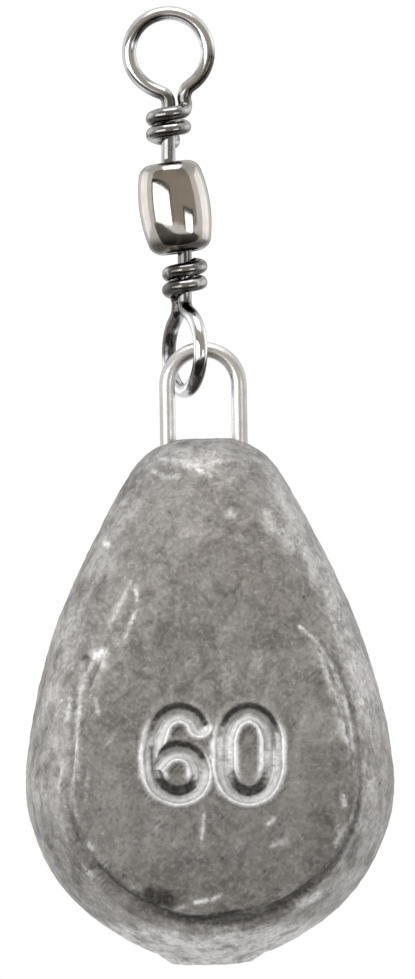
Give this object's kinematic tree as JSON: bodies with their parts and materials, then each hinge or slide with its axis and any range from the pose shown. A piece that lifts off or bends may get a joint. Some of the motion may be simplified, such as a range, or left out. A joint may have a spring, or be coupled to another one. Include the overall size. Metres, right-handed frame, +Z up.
{
  "type": "fishing sinker",
  "caption": "Pear-shaped cast lead weight with flat sides on a wire loop, hung from a wire-eyed barrel swivel that turns freely so that a fishing line does not twist.",
  "frame": {"origin": "middle of the upper ring, where the line is tied and the sinker hangs", "axes": "+Z up along the hanging sinker, +X to the right and -Y towards the viewer of the numbered side"},
  "size_m": [0.0211, 0.0131, 0.0548],
  "materials": {
    "lead": "dull cast lead",
    "steel_wire": "bright drawn wire",
    "nickel": "nickel plate"
  },
  "bodies": {
    "upper_eye": {"upper_eye": "nickel"},
    "barrel": {"swivel_barrel": "nickel"},
    "lower_eye": {"lower_eye": "nickel"},
    "lead": {"lead_body": "lead", "wire_loop": "steel_wire"}
  },
  "joints": [
    {"name": "upper_spin", "type": "hinge", "parent": "upper_eye", "child": "barrel", "pos_m": [0, 0, -0.0064], "axis": [0, 0, 1], "continuous": true},
    {"name": "lower_spin", "type": "hinge", "parent": "barrel", "child": "lower_eye", "pos_m": [0.00093, 0, -0.011], "axis": [0, 0, 1], "continuous": true},
    {"name": "lead_swing", "type": "hinge", "parent": "lower_eye", "child": "lead", "pos_m": [0.00139, -0.00102, -0.01716], "axis": [0.9135, 0.4067, 0], "range_deg": [-100, 100]}
  ]
}
